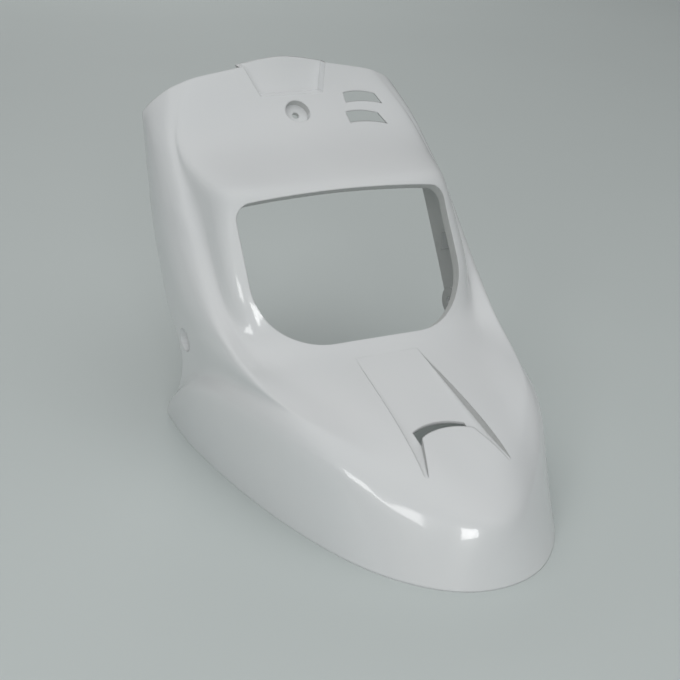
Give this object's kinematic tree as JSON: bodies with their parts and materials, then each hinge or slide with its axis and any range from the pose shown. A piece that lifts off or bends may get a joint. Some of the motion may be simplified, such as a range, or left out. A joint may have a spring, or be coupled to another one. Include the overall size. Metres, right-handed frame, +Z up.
{
  "type": "scooter front apron",
  "caption": "Moulded front apron of a scooter: hooded nose, framed headlamp opening, scooped top edge and flanks running down to a deep skirt.",
  "frame": {"origin": "middle of the footprint at the level of the lower rim", "axes": "+Z up from the rim plane, -Y forward to the nose, +X towards the vented side; the mirror plane is X = 0"},
  "size_m": [0.2962, 0.4548, 0.3147],
  "materials": {
    "paint": "gloss white paint on moulded plastic"
  },
  "bodies": {
    "root": {"front_apron": "paint"}
  },
  "joints": []
}
